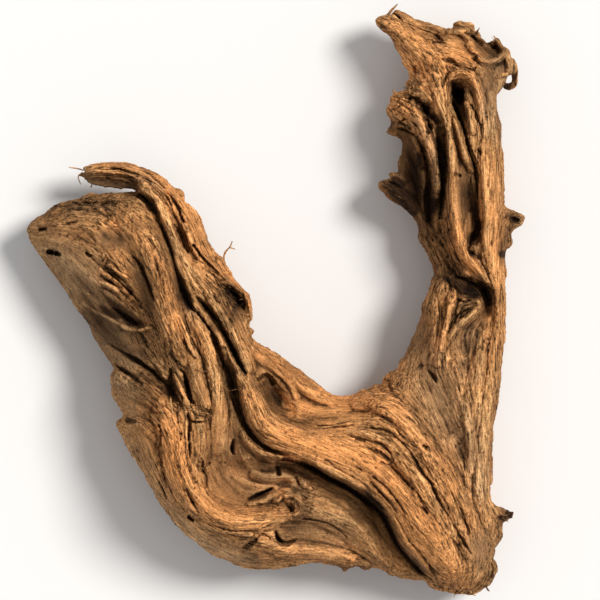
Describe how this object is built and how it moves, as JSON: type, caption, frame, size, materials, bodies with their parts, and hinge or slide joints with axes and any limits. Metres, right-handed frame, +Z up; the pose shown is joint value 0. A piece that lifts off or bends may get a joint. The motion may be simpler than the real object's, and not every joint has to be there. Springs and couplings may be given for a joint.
{
  "type": "mangrove root",
  "caption": "Weathered driftwood root for a terrarium or display: a heavy ropy base forks into a broad limb with a hooked strand and a slender limb with a broken crown.",
  "frame": {"origin": "centre of the root's outline in plan, on the surface that it lies on", "axes": "+X to the right and +Y along the slender limb, as pictured from above; +Z up from the surface, towards the camera"},
  "size_m": [0.4, 0.47, 0.1147],
  "materials": {
    "weathered_wood": "matt, dry, weathered and fibrous"
  },
  "bodies": {
    "root": {"hooked_strand": "weathered_wood", "left_limb": "weathered_wood", "root_base": "weathered_wood", "right_limb": "weathered_wood", "upper_prong": "weathered_wood", "crown": "weathered_wood"}
  },
  "joints": []
}
